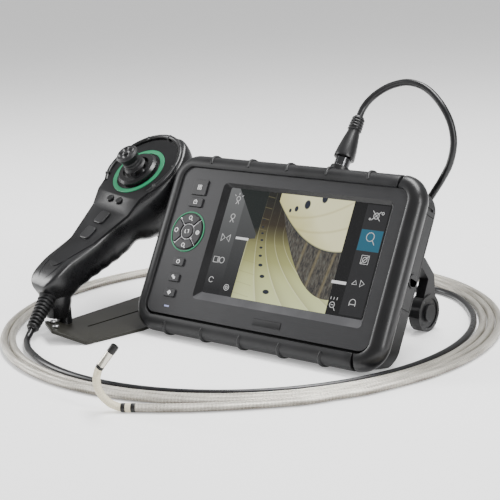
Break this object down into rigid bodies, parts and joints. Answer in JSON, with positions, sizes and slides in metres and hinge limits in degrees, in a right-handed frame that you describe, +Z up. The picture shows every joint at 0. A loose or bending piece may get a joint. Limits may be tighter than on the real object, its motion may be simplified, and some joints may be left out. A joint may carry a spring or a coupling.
{
  "type": "inspection camera",
  "caption": "Video inspection camera: tablet monitor on a kickstand, joystick control handle on a bent foot, and a coiled insertion tube with a bending tip.",
  "frame": {"origin": "on the surface the set stands on, under the middle of the monitor and handle taken together, without the cable and the insertion tube", "axes": "+X to the right along the width of the monitor as its user sees it, +Y away from the user, +Z up"},
  "size_m": [0.4146, 0.4305, 0.1983],
  "materials": {
    "front_frame": "satin",
    "screen_glass": "polished",
    "screen_gasket": "matte",
    "display_panel": "satin",
    "bumper": "matte",
    "side_grip": "satin",
    "rear_shell": "matte",
    "main_board": "satin",
    "battery_pack": "satin",
    "keypad_sheet": "matte",
    "key_menu": "satin",
    "key_home": "satin",
    "key_up": "satin",
    "key_right": "satin",
    "key_down": "satin",
    "key_left": "satin",
    "key_enter": "satin",
    "pad_ring": "gloss",
    "key_light": "satin",
    "key_image": "satin",
    "key_power": "satin",
    "port_door": "matte",
    "door_lock": "satin",
    "port_sockets": "satin",
    "cable_socket": "satin",
    "lock_ring": "polished",
    "case_screws": "satin",
    "kickstand": "satin",
    "stand_pins": "satin",
    "stand_feet": "matte",
    "foot_hubs": "matte",
    "grip_shell": "satin",
    "face_plate": "matte",
    "color_ring": "gloss",
    "stick_collar": "satin",
    "stick_fork": "satin",
    "stick": "satin",
    "stick_boot": "matte",
    "stick_cap": "satin",
    "steer_motors": "satin",
    "handle_board": "satin",
    "pad_front": "matte",
    "pad_back": "matte",
    "key_freeze": "matte",
    "key_zoom": "matte",
    "tube_gland": "matte",
    "cable_gland": "matte",
    "handle_foot": "satin",
    "foot_screws": "polished",
    "handle_cable": "satin",
    "cable_plug": "satin",
    "tube_coil": "satin",
    "tube_run": "satin",
    "tube_ferrule": "satin",
    "bend_1": "matte",
    "bend_2": "matte",
    "bend_3": "matte",
    "bend_4": "matte",
    "bend_5": "matte",
    "tip_head": "satin"
  },
  "bodies": {
    "base": {"front_frame": "front_frame", "screen_glass": "screen_glass", "screen_gasket": "screen_gasket", "display_panel": "display_panel", "bumper": "bumper", "side_grip": "side_grip", "rear_shell": "rear_shell", "main_board": "main_board", "battery_pack": "battery_pack", "keypad_sheet": "keypad_sheet", "pad_ring": "pad_ring", "port_sockets": "port_sockets", "cable_socket": "cable_socket", "case_screws": "case_screws", "stand_pins": "stand_pins", "grip_shell": "grip_shell", "face_plate": "face_plate", "color_ring": "color_ring", "stick_collar": "stick_collar", "steer_motors": "steer_motors", "handle_board": "handle_board", "tube_gland": "tube_gland", "cable_gland": "cable_gland", "handle_foot": "handle_foot", "foot_screws": "foot_screws", "handle_cable": "handle_cable", "cable_plug": "cable_plug", "tube_coil": "tube_coil", "tube_run": "tube_run", "tube_ferrule": "tube_ferrule"},
    "stand": {"kickstand": "kickstand", "stand_feet": "stand_feet", "foot_hubs": "foot_hubs"},
    "door": {"port_door": "port_door"},
    "lock": {"door_lock": "door_lock"},
    "plug_ring": {"lock_ring": "lock_ring"},
    "fork": {"stick_fork": "stick_fork"},
    "joystick": {"stick": "stick", "stick_boot": "stick_boot", "stick_cap": "stick_cap"},
    "key_menu": {"key_menu": "key_menu"},
    "key_home": {"key_home": "key_home"},
    "key_up": {"key_up": "key_up"},
    "key_right": {"key_right": "key_right"},
    "key_down": {"key_down": "key_down"},
    "key_left": {"key_left": "key_left"},
    "key_enter": {"key_enter": "key_enter"},
    "key_light": {"key_light": "key_light"},
    "key_image": {"key_image": "key_image"},
    "key_power": {"key_power": "key_power"},
    "pad_front": {"pad_front": "pad_front"},
    "pad_back": {"pad_back": "pad_back"},
    "key_freeze": {"key_freeze": "key_freeze"},
    "key_zoom": {"key_zoom": "key_zoom"},
    "bend_1": {"bend_1": "bend_1"},
    "bend_2": {"bend_2": "bend_2"},
    "bend_3": {"bend_3": "bend_3"},
    "bend_4": {"bend_4": "bend_4"},
    "bend_5": {"bend_5": "bend_5"},
    "tip_head": {"tip_head": "tip_head"}
  },
  "joints": [
    {"name": "stand_fold", "type": "hinge", "parent": "base", "child": "stand", "pos_m": [0.04072, 0.05305, 0.06352], "axis": [-1, 0, 0], "range_deg": [0, 50]},
    {"name": "door_open", "type": "hinge", "parent": "base", "child": "door", "pos_m": [0.15772, 0.02775, 0.07068], "axis": [0, 0.4848, 0.8746], "range_deg": [0, 100]},
    {"name": "lock_turn", "type": "hinge", "parent": "door", "child": "lock", "pos_m": [0.15772, 0.01589, 0.06125], "axis": [1, 0, 0], "range_deg": [0, 90]},
    {"name": "plug_ring_turn", "type": "hinge", "parent": "base", "child": "plug_ring", "pos_m": [0.07072, 0.04799, 0.12864], "axis": [0, 0.6018, 0.7986], "range_deg": [0, 60]},
    {"name": "key_menu_press", "type": "slide", "parent": "base", "child": "key_menu", "axis": [0, 0.8746, -0.4848], "range_m": [0, 0.0007], "stiffness_N_per_m": 300, "springref_m": -0.0005},
    {"name": "key_home_press", "type": "slide", "parent": "base", "child": "key_home", "axis": [0, 0.8746, -0.4848], "range_m": [0, 0.0007], "stiffness_N_per_m": 300, "springref_m": -0.0005},
    {"name": "key_up_press", "type": "slide", "parent": "base", "child": "key_up", "axis": [0, 0.8746, -0.4848], "range_m": [0, 0.0007], "stiffness_N_per_m": 300, "springref_m": -0.0005},
    {"name": "key_right_press", "type": "slide", "parent": "base", "child": "key_right", "axis": [0, 0.8746, -0.4848], "range_m": [0, 0.0007], "stiffness_N_per_m": 300, "springref_m": -0.0005},
    {"name": "key_down_press", "type": "slide", "parent": "base", "child": "key_down", "axis": [0, 0.8746, -0.4848], "range_m": [0, 0.0007], "stiffness_N_per_m": 300, "springref_m": -0.0005},
    {"name": "key_left_press", "type": "slide", "parent": "base", "child": "key_left", "axis": [0, 0.8746, -0.4848], "range_m": [0, 0.0007], "stiffness_N_per_m": 300, "springref_m": -0.0005},
    {"name": "key_enter_press", "type": "slide", "parent": "base", "child": "key_enter", "axis": [0, 0.8746, -0.4848], "range_m": [0, 0.0007], "stiffness_N_per_m": 300, "springref_m": -0.0005},
    {"name": "key_light_press", "type": "slide", "parent": "base", "child": "key_light", "axis": [0, 0.8746, -0.4848], "range_m": [0, 0.0007], "stiffness_N_per_m": 300, "springref_m": -0.0005},
    {"name": "key_image_press", "type": "slide", "parent": "base", "child": "key_image", "axis": [0, 0.8746, -0.4848], "range_m": [0, 0.0007], "stiffness_N_per_m": 300, "springref_m": -0.0005},
    {"name": "key_power_press", "type": "slide", "parent": "base", "child": "key_power", "axis": [0, 0.8746, -0.4848], "range_m": [0, 0.0007], "stiffness_N_per_m": 300, "springref_m": -0.0005},
    {"name": "pad_front_press", "type": "slide", "parent": "base", "child": "pad_front", "axis": [0.0365, 0.5909, -0.8059], "range_m": [0, 0.0008], "stiffness_N_per_m": 300, "springref_m": -0.0005},
    {"name": "pad_back_press", "type": "slide", "parent": "base", "child": "pad_back", "axis": [0.0365, 0.5909, -0.8059], "range_m": [0, 0.0008], "stiffness_N_per_m": 300, "springref_m": -0.0005},
    {"name": "key_freeze_press", "type": "slide", "parent": "base", "child": "key_freeze", "axis": [0.0365, 0.5909, -0.8059], "range_m": [0, 0.0008], "stiffness_N_per_m": 300, "springref_m": -0.0005},
    {"name": "key_zoom_press", "type": "slide", "parent": "base", "child": "key_zoom", "axis": [0.0365, 0.5909, -0.8059], "range_m": [0, 0.0008], "stiffness_N_per_m": 300, "springref_m": -0.0005},
    {"name": "fork_tilt", "type": "hinge", "parent": "base", "child": "fork", "pos_m": [-0.12328, 0.0265, 0.1186], "axis": [0.9851, -0.157, -0.0705], "range_deg": [-20, 20], "stiffness_Nm_per_rad": 0.3},
    {"name": "stick_tilt", "type": "hinge", "parent": "fork", "child": "joystick", "pos_m": [-0.12328, 0.0265, 0.1186], "axis": [0.1682, 0.7913, 0.5878], "range_deg": [-20, 20], "stiffness_Nm_per_rad": 0.3},
    {"name": "bend_1_bend", "type": "hinge", "parent": "base", "child": "bend_1", "pos_m": [0.04822, -0.1815, 0.003], "axis": [-0.5, 0.866, 0], "range_deg": [-21.3, 4]},
    {"name": "bend_2_bend", "type": "hinge", "parent": "bend_1", "child": "bend_2", "pos_m": [0.04257, -0.18476, 0.00554], "axis": [-0.5, 0.866, 0], "range_deg": [-21.3, 4]},
    {"name": "bend_3_bend", "type": "hinge", "parent": "bend_2", "child": "bend_3", "pos_m": [0.03811, -0.18734, 0.01028], "axis": [-0.5, 0.866, 0], "range_deg": [-21.3, 4]},
    {"name": "bend_4_bend", "type": "hinge", "parent": "bend_3", "child": "bend_4", "pos_m": [0.03544, -0.18888, 0.01657], "axis": [-0.5, 0.866, 0], "range_deg": [-21.3, 4]},
    {"name": "bend_5_bend", "type": "hinge", "parent": "bend_4", "child": "bend_5", "pos_m": [0.03494, -0.18917, 0.02354], "axis": [-0.5, 0.866, 0], "range_deg": [-21.3, 4]},
    {"name": "tip_head_bend", "type": "hinge", "parent": "bend_5", "child": "tip_head", "pos_m": [0.03666, -0.18818, 0.03025], "axis": [-0.5, 0.866, 0], "range_deg": [-21.3, 4]}
  ]
}
